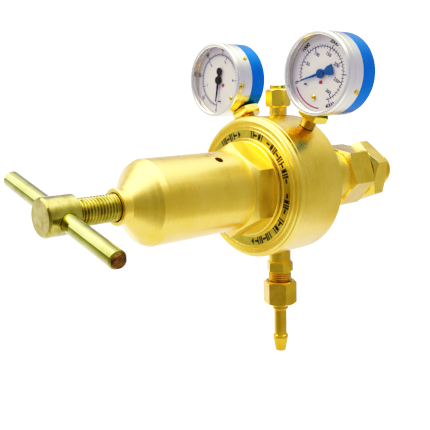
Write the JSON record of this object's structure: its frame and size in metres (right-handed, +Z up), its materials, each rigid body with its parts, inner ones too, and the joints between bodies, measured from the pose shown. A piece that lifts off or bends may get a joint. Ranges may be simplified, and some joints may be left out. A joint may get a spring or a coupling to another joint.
{
  "type": "gas regulator",
  "caption": "Brass pressure regulator for a gas cylinder: T-handle screw in a turned bonnet, round body, contents and delivery gauges, relief valve, inlet nut and hose tail.",
  "frame": {"origin": "on the regulator's axis, at the free end of the inlet nut's thread", "axes": "+Y along the regulator axis towards the cylinder, handle at -Y; +Z up, with the gauges and relief valve above and the hose tail pointing down"},
  "size_m": [0.1458, 0.3084, 0.2216],
  "materials": {
    "brass": "turned and polished",
    "zinc": "bright plated with a yellow passivate",
    "steel": "bright drawn",
    "aluminium": "turned",
    "blue": "gloss paint",
    "dial_white": "matt enamel",
    "black": "matt",
    "pointer_blue": "satin",
    "rubber": "matt",
    "nylon": "plain",
    "bronze": "dull",
    "glass": "clear"
  },
  "bodies": {
    "body": {"body": "brass", "bonnet": "brass", "slip_ring": "brass", "diaphragm": "rubber", "nozzle": "brass", "range_spring": "steel", "poppet_spring": "steel", "inlet_adapter": "brass", "inlet_filter": "bronze", "inlet_nipple": "brass", "nipple_o_ring": "rubber", "relief_body": "brass", "relief_cap": "brass", "relief_spring": "steel", "outlet_adapter": "brass", "hose_barb": "brass", "low_bezel": "aluminium", "low_lens": "glass", "low_case": "aluminium", "low_back_cover": "blue", "low_dial": "dial_white", "low_stop_pin": "black", "low_dial_screw": "brass", "low_set_screw": "brass", "low_stem": "brass", "low_bourdon_tube": "bronze", "low_movement": "brass", "high_bezel": "aluminium", "high_lens": "glass", "high_case": "aluminium", "high_back_cover": "blue", "high_dial": "dial_white", "high_stop_pin": "black", "high_dial_screw": "brass", "high_set_screw": "brass", "high_stem": "brass", "high_bourdon_tube": "bronze", "high_movement": "brass"},
    "button": {"spring_button": "steel"},
    "handle": {"adjusting_screw": "brass", "t_bar": "zinc"},
    "diaphragm_stack": {"spring_plate": "steel", "pusher": "brass", "stud_nut": "brass"},
    "valve": {"valve_pin": "steel", "valve_seat_disc": "nylon", "valve_poppet": "brass"},
    "inlet_nut": {"inlet_nut": "brass"},
    "outlet_nut": {"outlet_nut": "brass"},
    "relief_valve": {"relief_poppet": "brass", "relief_seal": "rubber"},
    "low_pointer": {"low_pointer": "black"},
    "low_sector": {"low_sector": "brass"},
    "low_link": {"low_link": "steel"},
    "high_pointer": {"high_pointer": "pointer_blue"},
    "high_sector": {"high_sector": "brass"},
    "high_link": {"high_link": "steel"}
  },
  "joints": [
    {"name": "button_slide", "type": "slide", "parent": "body", "child": "button", "axis": [0, 1, 0], "range_m": [-0.0021, 0.0201], "deforming": ["range_spring"]},
    {"name": "handle_turn", "type": "hinge", "parent": "button", "child": "handle", "pos_m": [0, -0.29, 0], "axis": [0, 1, 0], "range_deg": [-360, 3600]},
    {"name": "diaphragm_slide", "type": "slide", "parent": "body", "child": "diaphragm_stack", "axis": [0, 1, 0], "range_m": [0, 0.0008], "stiffness_N_per_m": 4000, "deforming": ["diaphragm"]},
    {"name": "valve_slide", "type": "slide", "parent": "body", "child": "valve", "axis": [0, 1, 0], "range_m": [0, 0.0008], "deforming": ["poppet_spring"]},
    {"name": "inlet_nut_turn", "type": "hinge", "parent": "body", "child": "inlet_nut", "pos_m": [0, -0.025, 0], "axis": [0, 1, 0], "continuous": true},
    {"name": "outlet_nut_turn", "type": "hinge", "parent": "body", "child": "outlet_nut", "pos_m": [0, -0.118, -0.078], "axis": [0, 0, 1], "continuous": true},
    {"name": "relief_lift", "type": "slide", "parent": "body", "child": "relief_valve", "axis": [0, 0, 1], "range_m": [0, 0.002], "stiffness_N_per_m": 3000, "deforming": ["relief_spring"]},
    {"name": "low_pointer_turn", "type": "hinge", "parent": "body", "child": "low_pointer", "pos_m": [-0.0467, -0.13, 0.0729], "axis": [0, 1, 0], "range_deg": [0, 270], "stiffness_Nm_per_rad": 0.002},
    {"name": "low_sector_turn", "type": "hinge", "parent": "body", "child": "low_sector", "pos_m": [-0.039, -0.123, 0.07784], "axis": [0, 1, 0], "range_deg": [-33.8, 0]},
    {"name": "low_link_slide", "type": "slide", "parent": "body", "child": "low_link", "axis": [-0.5394, 0, 0.842], "range_m": [0, 0.00234]},
    {"name": "high_pointer_turn", "type": "hinge", "parent": "body", "child": "high_pointer", "pos_m": [0.0467, -0.13, 0.0729], "axis": [0, 1, 0], "range_deg": [0, 270], "stiffness_Nm_per_rad": 0.002},
    {"name": "high_sector_turn", "type": "hinge", "parent": "body", "child": "high_sector", "pos_m": [0.05441, -0.123, 0.06796], "axis": [0, 1, 0], "range_deg": [-33.8, 0]},
    {"name": "high_link_slide", "type": "slide", "parent": "body", "child": "high_link", "axis": [0.5394, 0, 0.842], "range_m": [0, 0.00234]}
  ],
  "couplings": [
    {"joint": "button_slide", "follows": "handle_turn", "m_per_rad": 0.00031831},
    {"joint": "valve_slide", "follows": "diaphragm_slide", "ratio": 1},
    {"joint": "low_sector_turn", "follows": "low_pointer_turn", "ratio": -0.125},
    {"joint": "low_link_slide", "follows": "low_pointer_turn", "m_per_rad": 0.0004928},
    {"joint": "high_sector_turn", "follows": "high_pointer_turn", "ratio": -0.125},
    {"joint": "high_link_slide", "follows": "high_pointer_turn", "m_per_rad": 0.0004928}
  ]
}
